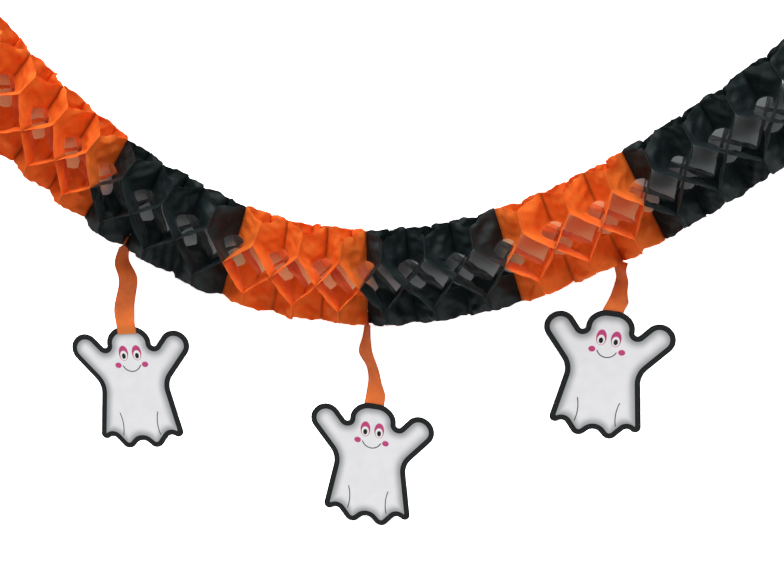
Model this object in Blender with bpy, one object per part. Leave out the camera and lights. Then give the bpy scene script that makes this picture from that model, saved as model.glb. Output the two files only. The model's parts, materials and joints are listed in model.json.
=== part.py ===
"""Paper garland: pull-out tissue rings in orange and black, with three ghost cards hung on paper ribbons.

Metres, +Z up. The garland hangs in the XZ plane and its front looks along -Y.
The origin is the middle of the left end card's outer face, where the garland is held.
"""

import math
from dataclasses import dataclass

import bmesh
import bpy
import numpy as np
from mathutils import Matrix, Vector

# Hanging line: its height above its lowest point is SAG x^2 - SKEW x^3 - EASE x^4
SAG = 1.090
SKEW = 0.214
EASE = 0.196
MIDDLE_SEAM_FROM_LOWEST = 0.0103
LINE_REACH = 1.2  # how far to each side the line is worked out
LINE_STEPS = 4800
RING_TILT = 0.87  # share of the line's slope that the rings take: they hang a little more upright

# Tissue rings and the way they are glued
PERIOD = 0.0572
UNEVENNESS = 0.0058  # how far a seam lies from its even place, as the garland is pulled by hand
UNEVEN_WAVE = 6.6  # periods from one wide stretch to the next
UNEVEN_FROM = 3  # a seam at its even place
MIDDLE_SECTIONS = 4
MIDDLE_SECTION_PERIODS = 3
END_SECTION_PERIODS = 4
HALF_SIDE = 0.0568
SQUARENESS = 2.4  # 2 is a circle, and more is squarer
HOLE_RADIUS = 0.021
GLUE_SPOT_FROM = 0.030
TISSUE = 0.0004
CLEARANCE = 0.0003
STEPS_AROUND = 24

# End cards
END_CARD_THICKNESS = 0.0015
HANG_HOLE_RADIUS = 0.002
HANG_HOLE_INSET = 0.012
HANG_HOLE_SIDES = 16

# Paper ribbons
RIBBON_WIDTH = 0.025
RIBBON_THICKNESS = 0.0004
RIBBON_TAB = 0.014
RIBBON_LAP = 0.009
RIBBON_STEPS = 22

# Ghost cards: a dome head, two raised arms and a wavy hem
CARD_THICKNESS = 0.0008
CARD_LENGTH = 0.165
HEAD_RADIUS = 0.029
ARM_SPAN = 0.156
ARM_RADIUS = 0.019
ARM_RISE = math.radians(50)
HAND_DROP = 0.027  # from the top of the head to the middle of a hand
CROOK_RADIUS = 0.008
ARMPIT_RADIUS = 0.024
WAIST = 0.088
HEM_WIDTH = 0.116
HEM_LOBES = 4
HEM_WAVE = 0.020
HEM_CURVE = 0.010  # how much higher the outer lobes end
HEM_RADIUS = 0.0105
ARC_STEP = math.radians(15)
MOST_OF_SIDE = 0.98  # share of a straight side that the arcs at its two ends may take up

COLOURS = {
    "orange_tissue": ((0.80, 0.165, 0.02), 0.75),
    "black_tissue": ((0.012, 0.020, 0.022), 0.65),
    "end_card": ((0.60, 0.52, 0.42), 0.80),
    "orange_ribbon": ((0.72, 0.17, 0.035), 0.70),
    "ghost_card": ((0.85, 0.85, 0.86), 0.45),
}


@dataclass
class Hanger:
    """A ghost card on its ribbon. Angles are in degrees."""

    name: str
    seam: int  # which seam carries it, counted from the garland's middle
    drop: float  # from the garland's lower rim to the top of the card
    drift: float  # how far the card hangs to the right of its seam
    lean: float  # sideways slope of the ribbon where it leaves the rim
    twist: float  # the ribbon's turn where it leaves the rim, and by its sign the way it goes on
    twist_from: float  # share of the drop after which the ribbon turns flat
    turned: float  # the card's turn about the vertical
    swing: float  # how far the card's foot swings to the right


HANGERS = (
    Hanger("left", -5, drop=0.104, drift=-0.003, lean=-0.05, twist=-30, twist_from=0, turned=176, swing=6),
    Hanger("middle", 0, drop=0.103, drift=0.007, lean=-0.25, twist=30, twist_from=0.35, turned=-5, swing=-4),
    Hanger("right", 5, drop=0.061, drift=-0.008, lean=-0.1, twist=34, twist_from=0.45, turned=4, swing=-7),
)


def clear_scene():
    for obj in list(bpy.data.objects):
        bpy.data.objects.remove(obj, do_unlink=True)


def material(name):
    made = bpy.data.materials.get(name)
    if made is None:
        colour, roughness = COLOURS[name]
        made = bpy.data.materials.new(name)
        made.use_nodes = True
        shader = made.node_tree.nodes["Principled BSDF"]
        shader.inputs["Base Color"].default_value = (*colour, 1)
        shader.inputs["Roughness"].default_value = roughness
        shader.inputs["Metallic"].default_value = 0
    return made


def new_object(name, mesh, slot):
    obj = bpy.data.objects.new(name, mesh)
    bpy.context.scene.collection.objects.link(obj)
    mesh.materials.append(material(slot))
    return obj


def thicken(obj, thickness):
    """Gives a sheet its thickness, half on each side."""
    wall = obj.modifiers.new("Paper", "SOLIDIFY")
    wall.thickness = thickness
    wall.offset = 0


def station(seam):
    """How far along the garland a seam is; a half number is the glue spots' place between two."""
    wave = math.sin(2 * math.pi * (seam - UNEVEN_FROM) / UNEVEN_WAVE)
    return seam * PERIOD + wave * UNEVENNESS


class HangingLine:
    """The garland's centre line, measured along itself from its middle seam."""

    def __init__(self):
        self.x = np.linspace(-LINE_REACH, LINE_REACH, LINE_STEPS + 1)
        steps = np.hypot(np.diff(self.x), np.diff(self.height(self.x)))
        along = np.concatenate([[0.0], np.cumsum(steps)])
        self.along = along - np.interp(0, self.x, along) - MIDDLE_SEAM_FROM_LOWEST

    def height(self, x):
        return SAG * x**2 - SKEW * x**3 - EASE * x**4

    def frame(self, seam):
        """Middle of the ring plane at a seam, the way the plane faces and the way up it."""
        x = float(np.interp(station(seam), self.along, self.x))
        tilt = RING_TILT * math.atan(2 * SAG * x - 3 * SKEW * x**2 - 4 * EASE * x**3)
        facing = Vector((math.cos(tilt), 0, math.sin(tilt)))
        return Vector((x, 0, self.height(x))), facing, Vector((-facing.z, 0, facing.x))


LINE = HangingLine()
PERIODS = 2 * END_SECTION_PERIODS + MIDDLE_SECTIONS * MIDDLE_SECTION_PERIODS
FRONT = Vector((0, -1, 0))
UP = Vector((0, 0, 1))
SKIN = (TISSUE + CLEARANCE) / 2


def end_card_face(side):
    """Middle of an end card's outer face, the way it looks and the way up it; side is -1 or 1."""
    point, facing, across = LINE.frame(side * PERIODS / 2)
    outward = side * facing
    return point + outward * (CLEARANCE / 2 + END_CARD_THICKNESS), outward, across


ORIGIN = end_card_face(-1)[0]


def rim_radius(angle):
    """Superellipse: a square with well rounded corners."""
    power = np.abs(np.cos(angle)) ** SQUARENESS + np.abs(np.sin(angle)) ** SQUARENESS
    return HALF_SIDE / power ** (1 / SQUARENESS)


def ring_points():
    """Depth and height of a ring's points, in three rows: hole, start of the glue spots, rim."""
    angle = np.arange(STEPS_AROUND) * 2 * np.pi / STEPS_AROUND
    rim = rim_radius(angle)
    corner = float(rim_radius(np.pi / 4))
    glue = (GLUE_SPOT_FROM * math.sqrt(2) - HOLE_RADIUS) / (corner - HOLE_RADIUS)
    radius = np.stack([HOLE_RADIUS + share * (rim - HOLE_RADIUS) for share in (0, glue, 1)])
    return radius * np.cos(angle), radius * np.sin(angle)


def plane_points(seam, offset, depth, height):
    """Points of a flat ring in the plane of a seam, moved square to it by offset."""
    point, facing, across = (np.array(v) for v in LINE.frame(seam))
    return (
        point - np.array(ORIGIN)
        + offset[..., None] * facing
        + height[..., None] * across
        + depth[..., None] * np.array(FRONT)
    )


def ring_sheet(name, slot, seam, spot, carries_ribbon):
    """One tissue ring, pulled to and fro between its seam plane and its corner glue spots.

    It lies in the seam plane along the upright and level lines through its middle, and reaches
    the glue spots' plane where both its depth and its height are GLUE_SPOT_FROM or more.
    """
    depth, height = ring_points()
    side = math.copysign(1, spot - seam)
    on_tab = carries_ribbon & np.isclose(depth, 0) & (height < 0)
    seam_skin = SKIN + np.where(on_tab, (RIBBON_THICKNESS + CLEARANCE) / 2, 0)
    at_seam = plane_points(seam, side * seam_skin, depth, height)
    at_spot = plane_points(spot, np.full(depth.shape, -side * SKIN), depth, height)
    reach = np.minimum(np.minimum(np.abs(depth), np.abs(height)) / GLUE_SPOT_FROM, 1)
    points = at_seam + reach[..., None] * (at_spot - at_seam)
    index = np.arange(points.shape[0] * points.shape[1]).reshape(points.shape[:2])
    beside = np.roll(index, -1, axis=1)
    faces = np.stack([index[:-1], beside[:-1], beside[1:], index[1:]], axis=-1)
    mesh = bpy.data.meshes.new(name)
    mesh.from_pydata(points.reshape(-1, 3).tolist(), [], faces.reshape(-1, 4).tolist())
    thicken(new_object(name, mesh, slot), TISSUE)


def section_slots():
    """Material slot of each period, from the left end."""
    middle = [MIDDLE_SECTION_PERIODS] * MIDDLE_SECTIONS
    slots = []
    for number, periods in enumerate([END_SECTION_PERIODS, *middle, END_SECTION_PERIODS]):
        slots += [("orange_tissue", "black_tissue")[number % 2]] * periods
    return slots


def tissue_rings():
    """Two rings to a period: each is glued to one neighbour at its seams and one at its spots."""
    hung = {hanger.seam for hanger in HANGERS}
    for period, slot in enumerate(section_slots()):
        first = period - PERIODS // 2
        for half, seam in enumerate((first, first + 1)):
            name = f"{slot.split('_')[0]}_ring_{2 * period + half + 1:02d}"
            ring_sheet(name, slot, seam, first + 0.5, seam in hung)


def placed(mesh, origin, outward, up):
    """Moves a mesh drawn in X and Z, with its front towards -Y, onto a plane."""
    turn = Matrix((up.cross(outward), -outward, up)).transposed().to_4x4()
    mesh.transform(Matrix.Translation(origin - ORIGIN) @ turn)


def flat_mesh(name, outline, thickness):
    """A flat card: its outline in X and Z, its front at Y = 0 and its back at Y = thickness."""
    bm = bmesh.new()
    face = bm.faces.new([bm.verts.new((x, 0, z)) for x, z in outline])
    grown = bmesh.ops.extrude_face_region(bm, geom=[face])
    moved = [v for v in grown["geom"] if isinstance(v, bmesh.types.BMVert)]
    bmesh.ops.translate(bm, verts=moved, vec=(0, thickness, 0))
    bmesh.ops.recalc_face_normals(bm, faces=bm.faces)
    mesh = bpy.data.meshes.new(name)
    bm.to_mesh(mesh)
    bm.free()
    return mesh


def hang_hole(name):
    """Cutter for the hole by which an end card hangs."""
    bm = bmesh.new()
    bmesh.ops.create_cone(
        bm,
        cap_ends=True,
        segments=HANG_HOLE_SIDES,
        radius1=HANG_HOLE_RADIUS,
        radius2=HANG_HOLE_RADIUS,
        depth=4 * END_CARD_THICKNESS,
        matrix=Matrix.Rotation(math.pi / 2, 4, "X"),
    )
    bmesh.ops.translate(bm, verts=bm.verts, vec=(0, 0, HALF_SIDE - HANG_HOLE_INSET))
    mesh = bpy.data.meshes.new(name)
    bm.to_mesh(mesh)
    bm.free()
    cutter = bpy.data.objects.new(name, mesh)
    bpy.context.scene.collection.objects.link(cutter)
    cutter.hide_render = True
    cutter.display_type = "WIRE"
    return cutter


def end_card(name, side):
    """A stiff card glued over the last ring, of the rings' own outline."""
    angle = np.arange(2 * STEPS_AROUND) * np.pi / STEPS_AROUND
    radius = rim_radius(angle)
    outline = np.stack([radius * np.cos(angle), radius * np.sin(angle)], axis=1)
    card = new_object(name, flat_mesh(name, outline.tolist(), END_CARD_THICKNESS), "end_card")
    cutter = hang_hole(name + "_hole")
    for obj in (card, cutter):
        placed(obj.data, *end_card_face(side))
    cut = card.modifiers.new("Hang hole", "BOOLEAN")
    cut.operation = "DIFFERENCE"
    cut.object = cutter


def rounded(corners):
    """A closed outline whose corners (x, z, radius) are arcs. Two that would meet both shrink."""
    count = len(corners)
    points = [Vector((x, z)) for x, z, _ in corners]
    sides = [points[(k + 1) % count] - points[k] for k in range(count)]
    halves = [(-sides[k - 1]).angle(sides[k]) / 2 for k in range(count)]
    cuts = [corners[k][2] / math.tan(halves[k]) for k in range(count)]
    outline = []
    for k in range(count):
        before = MOST_OF_SIDE * sides[k - 1].length / (cuts[k - 1] + cuts[k])
        after = MOST_OF_SIDE * sides[k].length / (cuts[k] + cuts[(k + 1) % count])
        cut = cuts[k] * min(before, after, 1)
        inward = (sides[k].normalized() - sides[k - 1].normalized()).normalized()
        centre = points[k] + inward * cut / math.cos(halves[k])
        start = points[k] - sides[k - 1].normalized() * cut - centre
        end = points[k] + sides[k].normalized() * cut - centre
        sweep = math.atan2(start.cross(end), start.dot(end))
        steps = max(1, round(abs(sweep) / ARC_STEP))
        for step in range(steps + 1):
            outline.append(tuple(centre + Matrix.Rotation(sweep * step / steps, 2) @ start))
    return outline


def ghost_outline():
    """The ghost, with the top of its head at the origin."""
    arm = Vector((math.cos(ARM_RISE), math.sin(ARM_RISE)))
    square = Vector((-arm.y, arm.x)) * ARM_RADIUS
    hand = Vector((ARM_SPAN / 2 - ARM_RADIUS, -HAND_DROP))
    upper = hand + square
    lower = hand - square
    crook = upper - arm * (upper.x - HEAD_RADIUS) / arm.x
    armpit = lower - arm * (lower.x - WAIST / 2) / arm.x
    right = [
        (HEAD_RADIUS, 0, HEAD_RADIUS),
        (*crook, CROOK_RADIUS),
        (*(upper + arm * ARM_RADIUS), ARM_RADIUS),
        (*(lower + arm * ARM_RADIUS), ARM_RADIUS),
        (*armpit, ARMPIT_RADIUS),
    ]
    left = [(-x, z, radius) for x, z, radius in reversed(right)]
    steps = 2 * HEM_LOBES - 2
    hem = []
    for step in range(steps + 1):
        across = 1 - 2 * step / steps
        fall = CARD_LENGTH - HEM_CURVE * across**2 - HEM_WAVE * (step % 2)
        hem.append((across * HEM_WIDTH / 2, -fall, HEM_RADIUS))
    return rounded(right + hem + left)


def card_axes(hanger):
    """The way a card's front looks and the way up it."""
    turned = math.radians(hanger.turned)
    swing = math.radians(hanger.swing)
    outward = Vector((math.sin(turned), -math.cos(turned), 0))
    level = Vector((abs(math.cos(turned)), math.copysign(1, math.cos(turned)) * math.sin(turned), 0))
    return outward, math.cos(swing) * UP - math.sin(swing) * level


def ease(share):
    share = min(max(share, 0), 1)
    return share * share * (3 - 2 * share)


def ribbon(hanger, rim, facing, across, top):
    """A paper strip: a tab glued between two rings, a twisting drop and a lap behind the card."""
    outward, up = card_axes(hanger)
    lap = top - outward * (CARD_THICKNESS + CLEARANCE + RIBBON_THICKNESS / 2)
    third = (rim - lap).length / 3
    leaving = (Vector((hanger.lean, 0, 0)) - UP).normalized() * third
    twist = math.radians(hanger.twist)
    at_rim = FRONT * math.cos(twist) + facing * math.sin(twist)
    at_card = up.cross(outward)
    at_card *= math.copysign(1, at_card.dot(facing) * twist)
    rows = [(rim + across * RIBBON_TAB, FRONT)]
    for step in range(RIBBON_STEPS + 1):
        t = step / RIBBON_STEPS
        s = 1 - t
        # Cubic curve from the rim to the card, which it meets in the card's own plane
        point = (
            s**3 * rim
            + 3 * s * s * t * (rim + leaving)
            + 3 * s * t * t * (lap + up * third)
            + t**3 * lap
        )
        turned = ease((t - hanger.twist_from) / (1 - hanger.twist_from))
        rows.append((point, at_rim.lerp(at_card, turned).normalized()))
    rows.append((lap - up * RIBBON_LAP, at_card))
    name = f"ribbon_{hanger.name}"
    points = [p - ORIGIN + w * RIBBON_WIDTH * side for p, w in rows for side in (-0.5, 0, 0.5)]
    starts = [3 * row + column for row in range(len(rows) - 1) for column in (0, 1)]
    mesh = bpy.data.meshes.new(name)
    mesh.from_pydata(points, [], [(k, k + 1, k + 4, k + 3) for k in starts])
    thicken(new_object(name, mesh, "orange_ribbon"), RIBBON_THICKNESS)


def hang(hanger):
    point, facing, across = LINE.frame(hanger.seam)
    rim = point - across * HALF_SIDE
    top = rim + Vector((hanger.drift, 0, -hanger.drop))
    name = f"ghost_card_{hanger.name}"
    mesh = flat_mesh(name, ghost_outline(), CARD_THICKNESS)
    placed(mesh, top, *card_axes(hanger))
    new_object(name, mesh, "ghost_card")
    ribbon(hanger, rim, facing, across, top)


def main():
    clear_scene()
    tissue_rings()
    end_card("end_card_left", -1)
    end_card("end_card_right", 1)
    for hanger in HANGERS:
        hang(hanger)


main()
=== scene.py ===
"""Paper garland: the looks of the tissue rings, end cards, ribbons and ghost cards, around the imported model.

Metres, +Z up. The garland hangs in the XZ plane and its front looks along -Y. The origin is the middle
of the left end card's outer face.
"""

import json
import math
from dataclasses import dataclass

import bpy
import numpy as np
from bpy.props import FloatProperty, FloatVectorProperty, PointerProperty
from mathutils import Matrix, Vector
from mathutils.geometry import delaunay_2d_cdt


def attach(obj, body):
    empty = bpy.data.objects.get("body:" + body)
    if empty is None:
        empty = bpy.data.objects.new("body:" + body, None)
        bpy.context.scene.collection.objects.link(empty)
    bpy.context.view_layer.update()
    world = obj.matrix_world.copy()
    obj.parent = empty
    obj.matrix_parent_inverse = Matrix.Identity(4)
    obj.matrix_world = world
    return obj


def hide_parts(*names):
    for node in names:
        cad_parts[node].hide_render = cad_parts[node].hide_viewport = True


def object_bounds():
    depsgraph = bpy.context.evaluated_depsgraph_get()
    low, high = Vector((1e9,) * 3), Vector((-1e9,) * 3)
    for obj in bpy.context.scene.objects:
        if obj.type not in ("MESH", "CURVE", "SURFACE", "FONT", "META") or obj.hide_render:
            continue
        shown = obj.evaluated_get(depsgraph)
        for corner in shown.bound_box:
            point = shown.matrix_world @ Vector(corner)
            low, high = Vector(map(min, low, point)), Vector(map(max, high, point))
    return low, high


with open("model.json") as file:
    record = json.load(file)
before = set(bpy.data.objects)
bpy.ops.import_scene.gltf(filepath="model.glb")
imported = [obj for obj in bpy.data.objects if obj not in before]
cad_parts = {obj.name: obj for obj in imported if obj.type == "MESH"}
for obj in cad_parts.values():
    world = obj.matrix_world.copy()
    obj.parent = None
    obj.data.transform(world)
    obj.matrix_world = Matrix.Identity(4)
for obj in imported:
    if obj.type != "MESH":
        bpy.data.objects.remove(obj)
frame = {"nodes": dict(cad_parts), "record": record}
CAD_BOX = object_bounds()

bl_info = {
    "name": "Paper garland",
    "version": (1, 0, 0),
    "blender": (4, 5, 0),
    "location": "3D View > Sidebar > Garland",
    "description": "Pull-out tissue garland with ghost cards on paper ribbons",
    "category": "Object",
}

PHOTO_WIDTH = 784
SENSOR_WIDTH = 36  # millimetres
PERIODS = 20  # ring pairs from end to end
UNEVEN_FROM = 3  # a seam at its even place
UNEVEN_WAVE = 6.6  # periods from one wide stretch to the next
LINE_REACH = 1.2  # how far to each side the hanging line is worked out
LINE_STEPS = 4800
END_CARD_THICKNESS = 0.0015
CAD_CLEARANCE = 0.0003
UP = np.array((0.0, 0.0, 1.0))
FRONT = np.array((0.0, -1.0, 0.0))
RIGHT = np.array((1.0, 0.0, 0.0))
RECORD_COLOURS = {row["slot"]: row["base_color"] for row in frame["record"]["materials"]}


@dataclass
class Hanger:
    """A ghost card on its ribbon. Lengths are in metres and angles in degrees."""

    name: str
    seam: int  # which seam carries it, counted from the garland's middle
    drop: float  # from the garland's lower rim to the top of the card
    drift: float  # how far the card hangs to the right of its seam
    lean: float  # sideways slope of the ribbon where it leaves the rim
    turned: float  # the card's turn about the vertical
    swing: float  # how far the card's foot swings to the right
    twist: tuple  # the ribbon's turn out of the wall's plane, at even steps from the rim to the card
    sway: tuple  # and how far it bends to the right there


HANGERS = (
    Hanger(
        "left", -5, drop=0.104, drift=-0.003, lean=-0.05, turned=176, swing=6,
        twist=(-72, -64, -45, -34, -24, -4), sway=(0, -0.003, 0.004, 0.003, 0, 0),
    ),
    Hanger(
        "middle", 0, drop=0.103, drift=0.007, lean=-0.25, turned=-5, swing=-4,
        twist=(66, 56, 34, 43, 34, 5), sway=(0, 0.0015, -0.0024, 0.0015, 0.003, 0),
    ),
    Hanger(
        "right", 5, drop=0.061, drift=-0.008, lean=-0.1, turned=4, swing=-7,
        twist=(56, 56, 54, 46, 24, -4), sway=(0, -0.001, 0.003, 0.005, 0.004, 0),
    ),
)


def length(name, default, description):
    return FloatProperty(name=name, description=description, default=default, precision=4, unit="LENGTH")


def number(name, default, description):
    return FloatProperty(name=name, description=description, default=default, precision=3)


def share(name, default, description):
    return FloatProperty(name=name, description=description, default=default, min=0, max=1, subtype="FACTOR")


def angle(name, degrees, description):
    return FloatProperty(name=name, description=description, default=math.radians(degrees), subtype="ANGLE")


def colour(name, default, description):
    return FloatVectorProperty(
        name=name, description=description, default=default, size=3, min=0, max=1, subtype="COLOR"
    )


class LineSettings(bpy.types.PropertyGroup):
    """The curve in which the garland hangs."""

    sag: number("Sag", 1.090, "Square term of the hanging line, for each metre")
    skew: number("Skew", 0.214, "Cube term of the hanging line, which makes its two sides differ")
    ease: number("Ease", 0.196, "Fourth-power term of the hanging line, which straightens its ends")
    middle_from_lowest: length("Middle seam", 0.0103, "From the line's lowest point to the middle seam")
    period: length("Period", 0.0572, "From one glued seam to the next")
    unevenness: length("Unevenness", 0.0058, "How far a seam lies from its even place")
    tilt: share("Ring tilt", 0.87, "Share of the line's slope that the rings take")


class TissueSettings(bpy.types.PropertyGroup):
    """The tissue rings."""

    half_side: length("Half width", 0.0568, "From the middle of a ring to its rim")
    squareness: number("Squareness", 2.4, "2 is a circle, and more is squarer")
    hole: length("Hole radius", 0.021, "Radius of the hole in each ring")
    spot_from: length("Glue spots from", 0.030, "From the seam lines to where the glue spots start")
    thickness: length("Thickness", 0.00016, "Thickness of the tissue as drawn")
    crumple: length("Crumple", 0.0020, "Height of the folds crumpled into the tissue")
    orange: colour("Orange", (0.93, 0.198, 0.021), "Colour of the orange tissue")
    black: colour("Black", (0.0048, 0.0100, 0.0105), "Colour of the black tissue")
    glow: share("Glow", 0.25, "How much of the light comes through the orange tissue")


class RibbonSettings(bpy.types.PropertyGroup):
    """The paper ribbons."""

    width: length("Width", 0.025, "Width of a ribbon")
    thickness: length("Thickness", 0.0003, "Thickness of the paper")
    tab: length("Tab", 0.014, "Length glued between two rings")
    lap: length("Lap", 0.009, "Length glued to the card")
    wave: length("Wave", 0.0015, "How far the ribbon waves to and fro")
    paper: colour("Paper", (0.74, 0.188, 0.031), "Colour of the ribbon")
    glow: share("Glow", 0.3, "How much of the light comes through the paper")


class CardSettings(bpy.types.PropertyGroup):
    """The ghost cards and the end cards."""

    thickness: length("Thickness", 0.0008, "Thickness of a ghost card")
    length: length("Length", 0.165, "From the top of the head to the lowest lobe")
    head: length("Head radius", 0.029, "Radius of the head")
    arm_span: length("Arm span", 0.156, "From hand to hand")
    arm: length("Arm radius", 0.019, "Half the width of an arm")
    rise: angle("Arm rise", 50, "Slope of the arms")
    hand_drop: length("Hand drop", 0.027, "From the top of the head to the middle of a hand")
    crook: length("Crook radius", 0.004, "Rounding between head and arm")
    armpit: length("Armpit radius", 0.024, "Rounding under the arm")
    waist: length("Waist", 0.088, "Width under the arms")
    hem: length("Hem width", 0.116, "Width of the hem")
    hem_wave: length("Hem wave", 0.020, "Height of the hem's waves")
    hem_curve: length("Hem curve", 0.010, "How much higher the outer lobes end")
    hem_radius: length("Hem radius", 0.0105, "Rounding of the hem's waves")
    border: length("Border", 0.0068, "Width of the dark border")
    shade: length("Shade", 0.013, "How far the grey shade reaches in from the border")
    white: colour("White", (0.83, 0.83, 0.85), "Colour of the printed body")
    dark: colour("Dark", (0.008, 0.0095, 0.0095), "Colour of the border and the drawn lines")
    accent: colour("Accent", (0.52, 0.06, 0.20), "Colour of the cheeks")
    board: colour("Board", RECORD_COLOURS["end_card"], "Colour of the end cards' board")


class StageSettings(bpy.types.PropertyGroup):
    """Floor, backdrop, lamps and camera."""

    gap: length("Wall gap", 0.003, "From the rings' back to the wall")
    floor: length("Floor", 0.22, "From the lowest card down to the floor")
    azimuth: angle("Azimuth", 8.5, "Turn of the camera")
    elevation: angle("Elevation", 14.7, "Height of the camera")
    distance: length("Distance", 1.85, "From the camera to the point that it looks at")
    pixel: length("Pixel", 0.0012, "What one pixel of the photo's width spans at that point")
    look_right: length("Look right", 0.0388, "The point looked at, from the line's lowest point")
    look_up: length("Look up", -0.0028, "The point looked at, from the line's lowest point")


class GarlandSettings(bpy.types.PropertyGroup):
    """All sizes and colours of the garland."""

    line: PointerProperty(type=LineSettings)
    tissue: PointerProperty(type=TissueSettings)
    ribbon: PointerProperty(type=RibbonSettings)
    card: PointerProperty(type=CardSettings)
    stage: PointerProperty(type=StageSettings)


# Node trees


def arithmetic(operation):
    """Two methods that add a Math node for a socket and another value, the second in reflected order."""

    def plain(self, other):
        return self.maths(operation, self, other)

    def reflected(self, other):
        return self.maths(operation, other, self)

    return plain, reflected


class Socket:
    """A node's output, on which Python's operators add Math nodes."""

    __add__, __radd__ = arithmetic("ADD")
    __sub__, __rsub__ = arithmetic("SUBTRACT")
    __mul__, __rmul__ = arithmetic("MULTIPLY")
    __truediv__, __rtruediv__ = arithmetic("DIVIDE")
    __pow__, __rpow__ = arithmetic("POWER")

    def __init__(self, tree, output):
        self.tree = tree
        self.output = output

    def maths(self, operation, first, second=None):
        node = self.tree.nodes.new("ShaderNodeMath")
        node.operation = operation
        for place, value in enumerate((first, second)):
            if isinstance(value, Socket):
                self.tree.links.new(value.output, node.inputs[place])
            elif value is not None:
                node.inputs[place].default_value = value
        return Socket(self.tree, node.outputs[0])

    def __abs__(self):
        return self.maths("ABSOLUTE", self)

    def root(self):
        return self.maths("SQRT", self)

    def larger(self, other):
        return self.maths("MAXIMUM", self, other)


class Finish:
    """A material under construction."""

    def __init__(self, name):
        self.material = bpy.data.materials.new(name)
        self.material.use_nodes = True
        self.tree = self.material.node_tree
        self.tree.nodes.clear()

    def node(self, kind, settings=None, inputs=None, output=0):
        """One output of a new node with these settings and these values or links of its inputs."""
        made = self.tree.nodes.new("ShaderNode" + kind)
        for key, value in (settings or {}).items():
            setattr(made, key, value)
        for key, value in (inputs or {}).items():
            if isinstance(value, Socket):
                self.tree.links.new(value.output, made.inputs[key])
            else:
                made.inputs[key].default_value = value
        return Socket(self.tree, made.outputs[output]) if made.outputs else None

    def place(self):
        return self.node("TexCoord", output="Object")

    def attribute(self, name):
        return self.node("Attribute", {"attribute_name": name}, output="Fac")

    def noise(self, scale, detail=3, roughness=0.5, distortion=0, place=None):
        """Clouds that repeat about scale times in a metre."""
        inputs = {"Scale": scale, "Detail": detail, "Roughness": roughness, "Distortion": distortion}
        return self.node("TexNoise", None, {"Vector": place or self.place(), **inputs})

    def cells(self, scale, feature="F1"):
        """Distance to the nearest of many random points, or to the nearest edge between their cells."""
        return self.node("TexVoronoi", {"feature": feature}, {"Vector": self.place(), "Scale": scale})

    def between(self, value, low, high, to_low=0.0, to_high=1.0):
        """A soft step: to_low below low, to_high above high."""
        inputs = {0: value, 1: low, 2: high, 3: to_low, 4: to_high}
        return self.node("MapRange", {"interpolation_type": "SMOOTHSTEP"}, inputs)

    def mix(self, factor, first, second):
        """A mix of two colours."""
        first, second = (each if isinstance(each, Socket) else (*each, 1) for each in (first, second))
        return self.node("Mix", {"data_type": "RGBA"}, {0: factor, 6: first, 7: second}, output=2)

    def blend(self, factor, first, second):
        """A mix of two shaders."""
        return self.node("MixShader", None, {0: factor, 1: first, 2: second})

    def bump(self, height, strength, distance):
        return self.node("Bump", None, {"Height": height, "Strength": strength, "Distance": distance})

    def translucent(self, tint, normal):
        return self.node("BsdfTranslucent", None, {"Color": tint, "Normal": normal})

    def principled(self, tint, roughness, normal, more=None):
        inputs = {"Base Color": tint, "Roughness": roughness, "Normal": normal, **(more or {})}
        return self.node("BsdfPrincipled", None, inputs)

    def surface(self, shader):
        self.node("OutputMaterial", {"is_active_output": True}, {"Surface": shader})
        return self.material


def darker(tint, by):
    return tuple(channel * by for channel in tint)


CREPE_SQUEEZE = 6  # how much finer the crepe is across its ribs than along them
STREAK_AND_HIGHLIGHT_TINTS = {"orange": (1.0, 0.30, 0.07), "black": (0.022, 0.033, 0.036)}  # lighter tints where the dye is thin in streaks, and of the painted highlight along the cut edges
TISSUE_ROUGHNESS = {"orange": 0.72, "black": 0.54}


def tissue_finish(dye_name, tint, glow):
    """Thin crumpled tissue: clouded dye, soft dents, fine upright crepe, sparse creases, painted seam shade,
    painted edge highlights.
    """
    finish = Finish(f"{dye_name}_tissue_paper")
    edge = STREAK_AND_HIGHLIGHT_TINTS[dye_name]
    upright = finish.node("SeparateXYZ", None, {0: finish.place()}, output="Z")
    axes = {0: finish.attribute("deep") * CREPE_SQUEEZE, 1: finish.attribute("high"), 2: upright}
    crepe_place = finish.node("CombineXYZ", None, axes)
    cloudy = finish.noise(70, detail=5, roughness=0.65)
    streaks = finish.noise(420, roughness=0.6)
    glued = finish.attribute("glued")
    cut = finish.attribute("cut_edge")
    dye = finish.mix(finish.between(cloudy, 0.30, 0.70), darker(tint, 0.86), tint)
    dye = finish.mix(finish.between(streaks, 0.45, 0.75, to_high=0.14), dye, edge)
    # painted shade: the tissue is darker along the glued seams, where the sheets meet in creases
    dye = finish.mix(glued * 0.5, dye, darker(tint, 0.3))
    # painted highlight: lighter along the cut edges of the hole and the rim
    dye = finish.mix(cut * 0.5, dye, edge)
    dents = finish.noise(42, detail=2, roughness=0.4, distortion=0.3)
    crepe = finish.noise(150, roughness=0.6, distortion=0.4, place=crepe_place)
    grain = finish.noise(1500, detail=2)
    broken = finish.between(finish.noise(25, detail=2), 0.48, 0.60)
    folds = finish.between(finish.cells(32, "DISTANCE_TO_EDGE"), 0.0, 0.035, 1, 0) * broken
    height = dents * 1.25 + crepe * 0.20 + folds * 0.10 + grain * 0.02
    normal = finish.bump(height, strength=0.8, distance=0.0014)
    shader = finish.principled(dye, TISSUE_ROUGHNESS[dye_name], normal, {"Specular IOR Level": 0.25})
    if glow:
        shader = finish.blend(glow, shader, finish.translucent(dye, normal))
    return finish.surface(shader)


WORN_AND_LIT_BY = (1.25, 1.5, 1.6)  # how much lighter the paper is where worn, and where light is painted on it, in red, green and blue


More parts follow.
